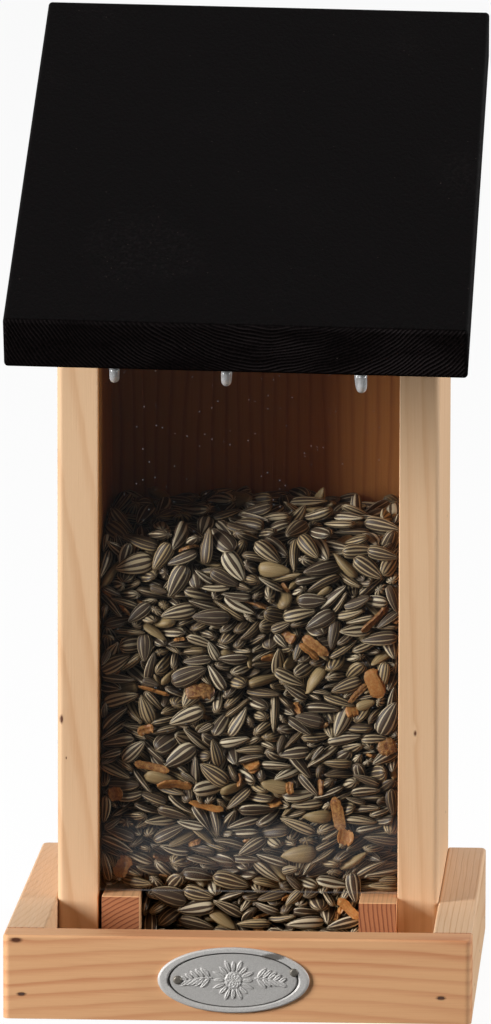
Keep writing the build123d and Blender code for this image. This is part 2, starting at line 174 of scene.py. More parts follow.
class Tree:
    """One material's node tree, with a short call for each kind of node that it uses."""

    def __init__(self, name):
        self.material = bpy.data.materials.new(name)
        self.material.use_nodes = True
        self.nodes = self.material.node_tree.nodes
        self.nodes.clear()
        self.out = self.nodes.new("ShaderNodeOutputMaterial")

    def put(self, socket, value):
        if isinstance(value, bpy.types.NodeSocket):
            self.material.node_tree.links.new(value, socket)
        else:
            socket.default_value = value

    def node(self, kind, inputs=None, **settings):
        made = self.nodes.new(kind)
        for name, value in settings.items():
            setattr(made, name, value)
        for name, value in (inputs or {}).items():
            self.put(made.inputs[name], value)
        return made

    def math(self, operation, *values, clamp=False):
        made = self.node("ShaderNodeMath", dict(enumerate(values)), operation=operation)
        made.use_clamp = clamp
        return made.outputs[0]

    def vector(self, operation, *values):
        made = self.node("ShaderNodeVectorMath", dict(enumerate(values)), operation=operation)
        return made.outputs[0]

    def scaled(self, vector, by):
        return self.vector("MULTIPLY", vector, by)

    def parts(self, vector):
        return self.node("ShaderNodeSeparateXYZ", {0: vector}).outputs

    def joined(self, x, y, z):
        return self.node("ShaderNodeCombineXYZ", {0: x, 1: y, 2: z}).outputs[0]

    def place(self):
        """The point on the piece, in mm."""
        spot = self.node("ShaderNodeTexCoord").outputs["Object"]
        return self.scaled(spot, (1 / MM, 1 / MM, 1 / MM))

    def normal(self):
        """The X, Y and Z of the surface's direction."""
        return self.parts(self.node("ShaderNodeTexCoord").outputs["Normal"])

    def squares(self, first, second):
        """The sum of two values' squares."""
        return self.math("MULTIPLY_ADD", first, first, self.math("MULTIPLY", second, second))

    def apart(self, values, middle, reach):
        """The squared distance of two coordinates from a middle, where 1 is the edge of its ellipse."""
        gaps = [
            self.math("DIVIDE", self.math("SUBTRACT", value, centre), radius)
            for value, centre, radius in zip(values, middle, reach)
        ]
        return self.squares(*gaps)

    def noise(self, vector, detail=2.0, roughness=0.5):
        inputs = {"Vector": vector, "Scale": 1.0, "Detail": detail, "Roughness": roughness}
        return self.node("ShaderNodeTexNoise", inputs).outputs[0]

    def cells(self, vector):
        """Random cells: the distance to the nearest one's middle, then its own random colour."""
        return self.node("ShaderNodeTexVoronoi", {"Vector": vector, "Scale": 1.0}).outputs

    def ranged(self, value, low, high, to_low=0.0, to_high=1.0, smooth=False):
        kind = "SMOOTHSTEP" if smooth else "LINEAR"
        inputs = {0: value, 1: low, 2: high, 3: to_low, 4: to_high}
        return self.node("ShaderNodeMapRange", inputs, interpolation_type=kind).outputs[0]

    def ramp(self, value, stops, interpolation="LINEAR"):
        made = self.node("ShaderNodeValToRGB", {0: value})
        elements = made.color_ramp.elements
        made.color_ramp.interpolation = interpolation
        while len(elements) < len(stops):
            elements.new(1.0)
        for element, (place, colour) in zip(elements, stops):
            element.position = place
            element.color = colour
        return made.outputs[0]

    def mix(self, share, low, high):
        made = self.node("ShaderNodeMix", data_type="RGBA")
        for index, value in ((0, share), (6, low), (7, high)):
            self.put(made.inputs[index], value)
        return made.outputs[2]

    def attribute(self, name):
        return self.node("ShaderNodeAttribute", attribute_name=name)

    def bump(self, height, strength, distance):
        inputs = {"Strength": strength, "Distance": distance, "Height": height}
        return self.node("ShaderNodeBump", inputs).outputs[0]

    def principled(self, **inputs):
        made = self.node("ShaderNodeBsdfPrincipled")
        for name, value in inputs.items():
            self.put(made.inputs[name.replace("_", " ").title().replace("Ior", "IOR")], value)
        self.put(self.out.inputs["Surface"], made.outputs[0])

    def mixed(self, first, second, share):
        made = self.node("ShaderNodeMixShader", {0: share, 1: first, 2: second})
        self.put(self.out.inputs["Surface"], made.outputs[0])


# ---------------------------------------------------------------- wood

AXES = {"x": (0, 1, 2), "y": (1, 2, 0), "z": (2, 0, 1)}  # along the fibres, then across them
KNOT_STRETCH = 2.2  # a knot's length along the fibres for each mm across them
PALE_PINE = srgb(222, 184, 145)
RING_PINE = srgb(198, 148, 104)
# painted shade: darker browns that stand in for the shade inside the silo, used on the back panel and
# on the side panels' inner faces
SHADE_DARK_PINE = srgb(174, 114, 56)
SHADE_DARK_RING_PINE = srgb(136, 78, 34)
WARM_PINE = srgb(224, 170, 122)
RED_RING_PINE = srgb(186, 112, 70)
END_PINE = srgb(190, 124, 82)
END_RING_PINE = srgb(112, 54, 32)


def grain_space(tree, along):
    """The place on the piece in mm: along the fibres, then the two directions across them."""
    parts = tree.parts(tree.place())
    return tuple(parts[axis] for axis in AXES[along])


def grain_noise(tree, space, along, across, seed, *detail):
    """Noise that is stretched along the fibres: along and across are how fast it changes per mm."""
    length, first, second = space
    stretched = tree.joined(
        tree.math("MULTIPLY_ADD", length, along, seed),
        tree.math("MULTIPLY", first, across),
        tree.math("MULTIPLY", second, across),
    )
    return tree.noise(stretched, *detail)


def ring_field(tree, space, pith, lean, spacing, wander, seed, knots=(), bow=(0.0, 0.0)):
    """Growth rings round a pith line: (0 to 1 through each ring, how much of a knot shows).

    The pith passes through the two coordinates across the fibres, and lean tilts it against the length.
    Wander bends the rings slowly, and bow curves them along the length, as (middle, mm at 100 mm away).
    A knot is (place, the indices in space that the place is in, size, mm that it pushes the rings).
    """
    length, first, second = space
    slow = grain_noise(tree, space, 0.008, 0.035, seed * 7.31, 2.0)
    drift = tree.math("MULTIPLY_ADD", slow, wander, -0.5 * wander)
    across = [
        tree.math("MULTIPLY_ADD", length, -slope, tree.math("SUBTRACT", value, middle))
        for value, middle, slope in zip((first, second), pith, lean)
    ]
    radius = tree.math("POWER", tree.squares(*across), 0.5)
    quick = grain_noise(tree, space, 0.05, 0.3, seed, 2.0)
    ripple = tree.math("MULTIPLY_ADD", quick, 0.28 * spacing, -0.14 * spacing)
    radius = tree.math("ADD", radius, tree.math("ADD", drift, ripple))
    if bow[1]:
        swept = tree.math("MULTIPLY", tree.math("SUBTRACT", length, bow[0]), 0.01)
        radius = tree.math("MULTIPLY_ADD", tree.math("MULTIPLY", swept, swept), bow[1], radius)
    spots = 0.0
    for place, axes, size, push in knots:
        values = [space[axis] for axis in axes]
        apart = tree.apart(values, place, (size * KNOT_STRETCH, size))
        bulge = tree.math("EXPONENT", tree.math("MULTIPLY", apart, -0.35))
        radius = tree.math("MULTIPLY_ADD", bulge, push, radius)
        spots = tree.math("MAXIMUM", spots, tree.math("EXPONENT", tree.math("MULTIPLY", apart, -3.0)))
    return tree.math("FRACT", tree.math("DIVIDE", radius, spacing)), spots


def end_face(tree, along, least=0.93, full=0.97):
    """1 on faces cut across the fibres and 0 elsewhere, from how far they face along the grain."""
    facing = tree.math("ABSOLUTE", tree.normal()[AXES[along][0]])
    return tree.ranged(facing, least, full)


def pine(
    name,
    along,
    pith,
    spacing=3.4,
    lean=(0.0, 0.0),
    wander=5.0,
    seed=0.0,
    knots=(),
    light=PALE_PINE,
    dark=RING_PINE,
    contrast=0.8,
    streak=0.5,
    bow=(0.0, 0.0),
    fade=0.55,
    ends=(END_PINE, END_RING_PINE),
    inside=0,
):
    """Sanded, unfinished pine with growth rings, fine fibres, resin flecks and darker end grain.

    Contrast is how dark the rings are, and streak the fibres. Fade is where in each ring the pale
    early wood begins to darken. The other values are those of ring_field. A panel of the silo has
    inside = 1 or -1, the way along X that its inner face looks; that face is mixed towards darker
    browns as painted shade, standing in for the shade inside the silo.
    """
    tree = Tree(name)
    space = grain_space(tree, along)
    ring, spots = ring_field(tree, space, pith, lean, spacing, wander, seed, knots, bow)
    late = tree.ramp(
        ring,
        [
            (0.0, (0.25, 0.25, 0.25, 1)),
            (0.1, (0.0, 0.0, 0.0, 1)),
            (fade, (0.1, 0.1, 0.1, 1)),
            (0.9, (1, 1, 1, 1)),
            (1.0, (0.25, 0.25, 0.25, 1)),
        ],
        "EASE",
    )
    fibre = grain_noise(tree, space, 0.05, 2.3, seed, 3.0, 0.6)
    fleck = grain_noise(tree, space, 0.28, 4.6, seed, 2.0, 0.6)
    patch = grain_noise(tree, space, 0.012, 0.07, seed * 3.7, 2.0)
    strength = grain_noise(tree, space, 0.01, 0.13, seed * 1.7, 1.0)
    strength = tree.ranged(strength, 0.3, 0.7, 0.45 * contrast, 1.25 * contrast)
    amount = tree.math("MULTIPLY", late, strength)
    amount = tree.math("MULTIPLY_ADD", fibre, streak, tree.math("ADD", amount, -0.5 * streak))
    amount = tree.math("MULTIPLY_ADD", patch, 0.5, tree.math("ADD", amount, -0.25), clamp=True)
    side_colour = tree.mix(amount, light, dark)
    if inside:
        # painted shade: the panel's inner face is mixed towards darker browns that stand for the shade
        # inside the silo
        shaded_inner_face = tree.ranged(tree.math("MULTIPLY", tree.normal()[0], inside), 0.8, 0.95)
        side_colour = tree.mix(shaded_inner_face, side_colour, tree.mix(amount, SHADE_DARK_PINE, SHADE_DARK_RING_PINE))
    flecked = tree.ranged(fleck, 0.62, 0.78)
    side_colour = tree.mix(
        tree.math("MULTIPLY", flecked, 0.35), side_colour, tree.mix(0.5, side_colour, dark)
    )
    end_colour = tree.mix(
        tree.math("MULTIPLY_ADD", late, 0.75, tree.math("MULTIPLY", fleck, 0.3), clamp=True),
        *ends,
    )
    colour = tree.mix(end_face(tree, along), side_colour, end_colour)
    if knots:
        torn = tree.math("MULTIPLY", spots, tree.math("MULTIPLY_ADD", fibre, 1.6, 0.3))
        colour = tree.mix(tree.ranged(torn, 0.15, 0.75), colour, srgb(88, 47, 24))
    lift = tree.math("MULTIPLY_ADD", late, -0.5, fibre)
    tree.principled(
        base_color=colour,
        roughness=tree.ranged(fibre, 0.3, 0.7, 0.55, 0.72),
        specular_ior_level=0.35,
        normal=tree.bump(lift, 0.35, 0.12 * MM),
    )
    return tree.material


# Where the pith of the roof board lies, over its front end: its height and its place across, in mm
ROOF_PITH = (246.0, 10.0)
WORN_SPOT = (-53.0, -22.0)  # mm, back and across, where the stain is rubbed most
WORN_RADIUS = 15.0
ROOF_RING_SPACING, ROOF_RING_WANDER, ROOF_SEED = 0.95, 7.0, 4.2


def black_stain():
    """Black-stained board: raised grain on the faces, growth rings on the sawn front end."""
    tree = Tree("black_stain")
    space = grain_space(tree, "y")
    length, first, second = space
    place = tree.joined(length, first, second)
    upright = (0.0, 0.0)
    ring, _ = ring_field(
        tree, space, ROOF_PITH, upright, ROOF_RING_SPACING, ROOF_RING_WANDER, ROOF_SEED
    )
    end = end_face(tree, "y", 0.75, 0.87)
    fibre = grain_noise(tree, space, 0.04, 1.2, 0.0, 4.0, 0.65)
    rough = tree.noise(place, 4.0, 0.7)
    sheen = tree.mix(tree.ranged(fibre, 0.4, 0.7), srgb(3, 2, 2), srgb(14, 9, 10))
    speck = tree.cells(place)
    dot = tree.ranged(speck[0], 0.2, 0.1)
    worn = tree.noise(tree.scaled(place, (0.03, 0.03, 0.03)), 2.0)
    apart = tree.apart((length, second), WORN_SPOT, (WORN_RADIUS, WORN_RADIUS))
    rub = tree.math("EXPONENT", tree.math("MULTIPLY", apart, -1.0))
    worn = tree.math("MULTIPLY_ADD", rub, 0.22, worn)
    share = tree.ranged(worn, 0.52, 0.7, 0.997, 0.95)
    rare = tree.math("GREATER_THAN", tree.parts(speck[1])[0], share)
    colour = tree.mix(tree.math("MULTIPLY", dot, rare), sheen, srgb(84, 74, 70))
    rubbed = tree.math("MULTIPLY", tree.ranged(worn, 0.58, 0.72), tree.ranged(rough, 0.5, 0.7))
    colour = tree.mix(tree.math("MULTIPLY", rubbed, 0.5), colour, srgb(34, 29, 29))
    uneven = tree.noise(tree.scaled(place, (0.1, 0.16, 0.05)), 3.0)
    late = tree.math(
        "MULTIPLY", tree.ranged(ring, 0.45, 0.9), tree.ranged(uneven, 0.35, 0.65, 0.25, 1.0)
    )
    colour = tree.mix(tree.math("MULTIPLY", late, end), colour, srgb(36, 31, 31))
    height = tree.math(
        "ADD",
        tree.math("MULTIPLY", tree.math("MULTIPLY", late, end), 0.8),
        tree.math("MULTIPLY_ADD", fibre, 0.8, tree.math("MULTIPLY", rough, 0.25)),
    )
    tree.principled(
        base_color=colour,
        roughness=tree.ranged(fibre, 0.3, 0.7, 0.5, 0.68),
        specular_ior_level=0.03,
        normal=tree.bump(height, 0.9, 0.3 * MM),
    )
    return tree.material


def paint(node, material):
    """Gives a carried-over CAD node its finished material."""
    mesh = nodes[node].data
    mesh.materials.clear()
    mesh.materials.append(material)


# ---------------------------------------------------------------- clear window and metal


SMEAR_BAND = (30.0, 34.0, 50.0, 44.0)  # mm above the base where the window is greasy


def clear_acrylic():
    """Clear sheet with a few scratches and dust specks, and whiter sawn edges."""
    tree = Tree("clear_acrylic")
    place = tree.place()
    edge = tree.ranged(tree.math("ABSOLUTE", tree.normal()[1]), 0.7, 0.4)
    dust_cells = tree.cells(tree.scaled(place, (0.55, 0.55, 0.55)))
    dust = tree.math(
        "MULTIPLY",
        tree.ranged(dust_cells[0], 0.13, 0.06),
        tree.math("GREATER_THAN", tree.parts(dust_cells[1])[0], 0.8),
    )
    nicks = tree.cells(tree.vector("ADD", tree.scaled(place, (0.9, 0.3, 0.16)), (3.0, 1.0, 7.0)))
    nick = tree.math(
        "MULTIPLY",
        tree.ranged(nicks[0], 0.08, 0.03),
        tree.math("GREATER_THAN", tree.parts(nicks[1])[0], 0.9),
    )
    dust = tree.math("MAXIMUM", dust, tree.math("MULTIPLY", nick, 0.5))
    smear = tree.noise(tree.scaled(place, (0.02, 0.02, 0.12)), 3.0)
    level = tree.parts(place)[2]
    low_band = tree.math(
        "MULTIPLY",
        tree.ranged(level, *SMEAR_BAND[:2], smooth=True),
        tree.ranged(level, *SMEAR_BAND[2:], smooth=True),
    )
    haze = tree.math("MULTIPLY", low_band, tree.ranged(smear, 0.3, 0.7, 0.01, 0.03))
    veil = tree.math("MAXIMUM", tree.math("MULTIPLY", dust, 0.2), haze)
    veil = tree.math("MAXIMUM", veil, tree.math("MULTIPLY", edge, 0.12))
    clear = tree.node("ShaderNodeBsdfTransparent", {"Color": (0.985, 0.99, 0.99, 1)}).outputs[0]
    shine = tree.node("ShaderNodeBsdfGlossy", {"Color": (1, 1, 1, 1), "Roughness": 0.04}).outputs[0]
    film = tree.node("ShaderNodeBsdfDiffuse", {"Color": (0.72, 0.75, 0.8, 1)}).outputs[0]
    facing = tree.node("ShaderNodeLayerWeight", {"Blend": 0.5}).outputs["Facing"]
    mirror = tree.math("MULTIPLY_ADD", tree.math("POWER", facing, 5.0), 0.6, 0.02)
    pane = tree.node("ShaderNodeMixShader", {0: mirror, 1: clear, 2: shine}).outputs[0]
    tree.mixed(pane, film, veil)
    return tree.material


def metal(name, colour, roughness, mottle=0.12, metallic=1.0):
    """Plated or bare metal, with its brightness and roughness broken up a little."""
    tree = Tree(name)
    patch = tree.noise(tree.scaled(tree.place(), (0.8, 0.8, 0.8)), 4.0, 0.6)
    shade = tree.mix(tree.ranged(patch, 0.3, 0.7, 0.0, mottle * 3), colour, srgb(60, 58, 54))
    tree.principled(
        base_color=shade,
        metallic=metallic,
        roughness=tree.ranged(patch, 0.3, 0.7, roughness - 0.07, roughness + 0.1),
        normal=tree.bump(patch, 0.15, 0.05 * MM),
    )
    return tree.material


def add_piece(name, mesh, body, material):
    """Puts a mesh in the scene as a piece that rides a CAD body and takes the given material."""
    mesh.materials.append(material)
    piece = bpy.data.objects.new(name, mesh)
    bpy.context.scene.collection.objects.link(piece)
    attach(piece, body)
    return piece


# ---------------------------------------------------------------- badge

BADGE_RIM = 1.5 * MM
BADGE_STEP = 0.4 * MM
RELIEF = 0.38 * MM
PETALS = 16
PETAL_SPAN = (2.4 * MM, 6.5 * MM)
FLOWER_RADIUS = 2.5 * MM
SPRIG_SPAN = (6.2 * MM, 13.6 * MM)
LEAF_PAIRS = 5
BADGE_SPOKES, BADGE_RINGS = 420, 96  # the mesh's divisions round the oval and out from its middle
STAIN_PLACE, STAIN_SIZE = (11.5, 7.1), (4.2, 1.3)  # mm from the badge's middle


def soft_step(value, low, high):
    """0 below low, 1 above high, and a smooth rise between them."""
    share = np.clip((value - low) / (high - low), 0.0, 1.0)
    return share * share * (3.0 - 2.0 * share)


def leaf(x, z, place, turn, length, width):
    """A pointed leaf with a midrib: its height from 0 outside to 1."""
    u = (x - place[0]) * math.cos(turn) + (z - place[1]) * math.sin(turn)
    v = -(x - place[0]) * math.sin(turn) + (z - place[1]) * math.cos(turn)
    share = np.clip(1.0 - (2.0 * u / length - 1.0) ** 2, 0.0, 1.0)
    inside = soft_step(share * width / 2 - np.abs(v), 0.0, 0.22 * MM)
    rib = 1.0 - 0.55 * soft_step(0.16 * MM - np.abs(v), 0.0, 0.16 * MM)
    return inside * rib


def sunflower_relief(x, z):
    """Height of the generic motif: one sunflower head with a leafy sprig on each side."""
    reach, turn = np.hypot(x, z), np.arctan2(z, x)
    height = np.zeros_like(x)
    for k in range(PETALS):
        away = math.tau * k / PETALS
        start = (PETAL_SPAN[0] * math.cos(away), PETAL_SPAN[0] * math.sin(away))
        long = (PETAL_SPAN[1] - PETAL_SPAN[0]) * (1.0 if k % 2 else 0.82)
        height = np.maximum(height, 0.8 * leaf(x, z, start, away, long, 1.25 * MM))
    dome = 0.75 + 0.25 * np.cos(reach / MM * 5.2) * np.cos(turn * 9 + reach / MM * 2.0)
    dome = dome * soft_step(FLOWER_RADIUS - reach, 0, 0.3 * MM)
    height = np.where(reach < FLOWER_RADIUS, dome, height)
    for side in (-1, 1):
        along = np.clip(side * x, 0, None)
        bend = 1.9 * MM * np.sin(along / (15 * MM) * math.pi)
        stem = soft_step(0.3 * MM - np.abs(z + 1.2 * MM - bend), 0.0, 0.2 * MM)
        stem = stem * (along > SPRIG_SPAN[0]) * (along < SPRIG_SPAN[1])
        height = np.maximum(height, 0.7 * stem)
        for k in range(LEAF_PAIRS):
            out = (6.8 + 1.55 * k) * MM
            foot = (side * out, 1.9 * MM * math.sin(out / (15 * MM) * math.pi) - 1.2 * MM)
            for lift in (-1, 1):
                lean = lift * (0.85 - 0.08 * k)
                turned = lean if side > 0 else math.pi - lean
                size = (4.1 - 0.35 * k) * MM
                height = np.maximum(height, 0.9 * leaf(x, z, foot, turned, size, 1.5 * MM))
    return height


def badge_mesh():
    """An oval casting: raised rim, dark line inside it, pebbled field and the embossed motif."""
    low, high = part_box("badge_plate")
    middle = (low + high) / 2
    half = (high - low) / 2
    spokes = np.arange(BADGE_SPOKES) * math.tau / BADGE_SPOKES
    shares = np.concatenate((np.linspace(0.0, 1.0, BADGE_RINGS + 1)[1:], [1.0]))
    share, spoke = np.meshgrid(shares, spokes, indexing="ij")
    x = share * half.x * np.cos(spoke)
    z = share * half.z * np.sin(spoke)
    flat = np.array([[0.0]])
    rows = []
    for px, pz, part in ((x, z, share), (flat, flat, flat)):
        inward = (1.0 - part) * half.z * (1.0 + 0.25 * (px / half.x) ** 2)
        rim = soft_step(BADGE_RIM - inward, -0.12 * MM, 0.12 * MM)
        line = soft_step(0.26 * MM - np.abs(inward - BADGE_RIM - 0.2 * MM), 0.0, 0.2 * MM)
        round_off = 0.3 * MM * soft_step(0.5 * MM - inward, 0.0, 0.5 * MM) ** 2
        pebbles = 0.02 * MM * np.sin(px / MM * 7.1 + np.sin(pz / MM * 5.3) * 2)
        pebbles = pebbles * np.sin(pz / MM * 6.7 + np.sin(px / MM * 4.1) * 2)
        raised = np.minimum(RELIEF * sunflower_relief(px, pz), BADGE_STEP)
        field = raised + pebbles - 0.12 * MM * line
        height = np.where(rim > 0.5, BADGE_STEP * rim, field * (1 - rim)) - round_off
        rows.append((height, line, rim))
    heights, lines, rims = rows[0]
    front = low.y + BADGE_STEP
    y = front - heights
    y[-1, :] = high.y
    points = np.stack((middle.x + x, y, middle.z + z), axis=-1).reshape(-1, 3)
    centre = len(points)
    points = np.concatenate((points, [[middle.x, front - rows[1][0][0, 0], middle.z]]))
    points = np.concatenate((points, [[middle.x, high.y, middle.z]]))
    faces = []
    for k in range(BADGE_SPOKES):
        after = (k + 1) % BADGE_SPOKES
        faces.append((centre, after, k))
        for ring in range(len(shares) - 1):
            start = ring * BADGE_SPOKES
            nearer, farther = start, start + BADGE_SPOKES
            faces.append((nearer + k, nearer + after, farther + after, farther + k))
        last = (len(shares) - 1) * BADGE_SPOKES
        faces.append((centre + 1, last + k, last + after))
    mesh = bpy.data.meshes.new("badge")
    mesh.from_pydata(points.tolist(), [], faces)
    hollow = mesh.attributes.new("hollow", "FLOAT", "POINT")
    low_field = (1.0 - np.clip(heights / BADGE_STEP, 0, 1)) * (1 - rims) + lines
    hollow.data.foreach_set("value", np.concatenate((low_field.ravel(), [0.0, 0.0])))
    mesh.polygons.foreach_set("use_smooth", [True] * len(mesh.polygons))
    mesh.update()
    return mesh


def pewter():
    """Grey cast metal, darker where the casting is low, with a brown stain on part of the rim."""
    tree = Tree("pewter")
    place = tree.place()
    hollow = tree.attribute("hollow").outputs["Fac"]
    grit = tree.noise(tree.scaled(place, (3.0, 3.0, 3.0)), 4.0, 0.65)
    middle = (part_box("badge_plate")[0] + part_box("badge_plate")[1]) / 2 / MM
    x, _, z = tree.parts(place)[:3]
    stain_middle = (middle.x + STAIN_PLACE[0], middle.z + STAIN_PLACE[1])
    apart = tree.apart((x, z), stain_middle, STAIN_SIZE)
    stain = tree.ranged(tree.math("MULTIPLY_ADD", grit, 0.9, apart), 1.3, 0.7, smooth=True)
    bare = tree.mix(tree.ranged(grit, 0.3, 0.7), srgb(186, 183, 179), srgb(214, 211, 207))
    worn = tree.mix(tree.math("MULTIPLY", hollow, 0.2, clamp=True), bare, srgb(118, 116, 113))
    line = tree.ranged(hollow, 1.3, 1.9)
    colour = tree.mix(line, worn, srgb(52, 50, 47))
    colour = tree.mix(tree.math("MULTIPLY", stain, 0.8), colour, srgb(72, 64, 56))
    tree.principled(
        base_color=colour,
        metallic=0.3,
        roughness=tree.ranged(grit, 0.3, 0.7, 0.5, 0.68),
        normal=tree.bump(grit, 0.7, 0.1 * MM),
    )
    return tree.material


def add_badge():
    badge = add_piece("embossed_badge", badge_mesh(), "silo", pewter())
    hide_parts("badge_plate")


# ---------------------------------------------------------------- seeds

SIM_SCALE = 100.0  # the solver works best on pieces about a metre long, so the pile is scaled up
SETTLE_FRAMES = 105
FALL = -18.0  # a stronger pull, so the pile settles in fewer frames
SEED_LENGTH = 11.0 * MM
SEED_WIDTH = 5.4 * MM
SEED_THICKNESS = 3.2 * MM
CHIP_SHARE = 0.085  # of the pieces, broken husks and splinters
SMALL_SHARE = 0.06  # of the rest, half-grown seeds
SEEDS_DEEP = 10.5 * MM  # how far behind the window single seeds are laid, in front of a core that is painted dark as the shade deep in the heap
CORE_COVER = 14 * MM  # the same, below the heap's top
CORE_GAP = 0.3 * MM  # between the core and the boards
COLUMNS, LAYERS = 8, 132  # of seeds dropped behind the window
TOP_ROWS, TOP_LAYERS = 4, 10  # of seeds dropped over the core
TRAY_COLUMNS, TRAY_ROWS, TRAY_LAYERS = 6, 4, 7
BACK_RISE = 9.0 * MM  # the heap is this much higher in its back left corner
SURFACE_DROP = 4.5 * MM  # the seeds' middles stay this far under the heap's height
LOW_SHARE, MIDDLE_SHARE = 0.42, 0.8  # of the heap's height, where one mesh of seeds ends
PANEL_THICKNESS = 12 * MM


def seed_width(along):
    """Half width of a hull of unit length and width, from its pointed base (0) to its broad end (1)."""
    return 1.07 * along**0.76 * (1 - along) ** 0.42


def hull_mesh(name, rings, sides):
    """A coarse hull of unit size, for the solver."""
    mesh = bpy.data.meshes.new(name)
    shape = bmesh.new()
    for i in range(rings + 1):
        along = i / rings
        for k in range(sides):
            turn = math.tau * k / sides
            half = max(seed_width(along), 0.01)
            shape.verts.new((along - 0.5, half * math.cos(turn), half * math.sin(turn)))
    bmesh.ops.convex_hull(shape, input=shape.verts)
    shape.to_mesh(mesh)
    shape.free()
    return mesh


def silo_inside():
    """Low and high corners of the room that the seeds fill, read from the boards round it."""
    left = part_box("left_side_panel")
    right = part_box("right_side_panel")
    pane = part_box("window")
    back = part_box("back_panel")
    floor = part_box("base_board")[1].z
    low = Vector((left[0].x + PANEL_THICKNESS, pane[1].y, floor))
    high = Vector((right[1].x - PANEL_THICKNESS, back[0].y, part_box("silo_seeds")[1].z))
    return low, high


def pile_walls(low, high, core):
    """Boxes that hold the falling seeds: the boards, the window, the blocks and the hidden core."""
    front_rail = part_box("tray_front_rail")
    left_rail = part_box("tray_left_rail")
    right_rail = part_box("tray_right_rail")
    thick, top = 0.03, 0.9
    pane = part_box("window")
    return [
        ((low.x - 0.1, low.y - 0.2, low.z - thick), (high.x + 0.1, high.y + 0.1, low.z)),
        ((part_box("left_side_panel")[0].x, pane[0].y - 4 * MM, 0), (low.x, high.y + thick, top)),
        ((high.x, pane[0].y - 4 * MM, 0), (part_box("right_side_panel")[1].x, high.y + thick, top)),
        ((low.x - 0.05, high.y, 0), (high.x + 0.05, high.y + thick, top)),
        ((low.x - 0.05, pane[0].y, 0), (high.x + 0.05, pane[1].y, top)),
        (core[0], core[1]),
        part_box("left_window_block"),
        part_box("right_window_block"),
        ((-0.1, front_rail[0].y - thick, 0), (0.1, front_rail[1].y, 0.2)),
        ((left_rail[0].x - thick, low.y - 0.2, 0), (left_rail[1].x, high.y, 0.2)),
        ((right_rail[0].x, low.y - 0.2, 0), (right_rail[1].x + thick, high.y, 0.2)),
    ]


def heap_top(y, low):
    """Height of the heap in the tray at depth y: it slopes from the window down to the front rail."""
    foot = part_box("tray_seeds")
    reach = (foot[1].y - y) / (foot[1].y - foot[0].y)
    if reach < 0:
        return foot[1].z
    return low.z + (foot[1].z - low.z) * max(0.12, 1.0 - 1.35 * reach)


def drop_plan(low, high, core):
    """Where each piece starts, as (kind, place, turn, size): loose columns over the room to fill."""
    plan = []

    def add(x, y, z):
        chip = random.random() < CHIP_SHARE
        grow = random.uniform(0.76, 1.08)
        size = Vector((SEED_LENGTH, SEED_WIDTH, SEED_THICKNESS)) * grow
        size.y *= random.uniform(0.88, 1.14)
        size.z *= random.uniform(0.82, 1.15)
        if chip:
            size = Vector([random.uniform(*span) for span in ((4, 13), (1.8, 4.8), (0.8, 1.5))]) * MM
        elif random.random() < SMALL_SHARE:
            size *= 0.6
        turn = Euler(
            (random.uniform(0, math.tau), random.gauss(0, 0.6), random.uniform(0, math.tau))
        )
        plan.append(("chip" if chip else "seed", Vector((x, y, z)), turn, size))

    def shake(amount=0.5):
        return random.uniform(-amount, amount) * MM

    pitch = (high.x - low.x) / COLUMNS
    for layer in range(LAYERS):
        for i in range(COLUMNS):
            x = low.x + pitch * (i + 0.5)
            y = (low.y + core[0].y) / 2
            add(x + shake(), y + shake(1.5), low.z + 6 * MM + 4.4 * MM * layer + shake())
    for layer in range(TOP_LAYERS):
        for i in range(COLUMNS):
            for j in range(TOP_ROWS):
                x = low.x + pitch * (i + 0.5)
                y = core[0].y + (high.y - core[0].y) * (j + 0.5) / TOP_ROWS
                stagger = 1.5 * MM * ((i + j) % 2)
                add(x + shake(), y + shake(), core[1].z + 6 * MM + 7 * MM * layer + stagger)
    left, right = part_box("left_window_block")[1].x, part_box("right_window_block")[0].x
    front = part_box("tray_seeds")[0].y
    for layer in range(TRAY_LAYERS):
        for i in range(TRAY_COLUMNS):
            for j in range(TRAY_ROWS):
                x = left + (right - left) * (i + 0.5) / TRAY_COLUMNS
                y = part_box("window")[0].y - 6 * MM - 10 * MM * j
                z = low.z + 5 * MM + 7 * MM * layer
                if y > front and z < low.z + (heap_top(y, low) - low.z) * 2.6 + 5 * MM:
                    add(x + shake(), y + shake(), z)
    return plan


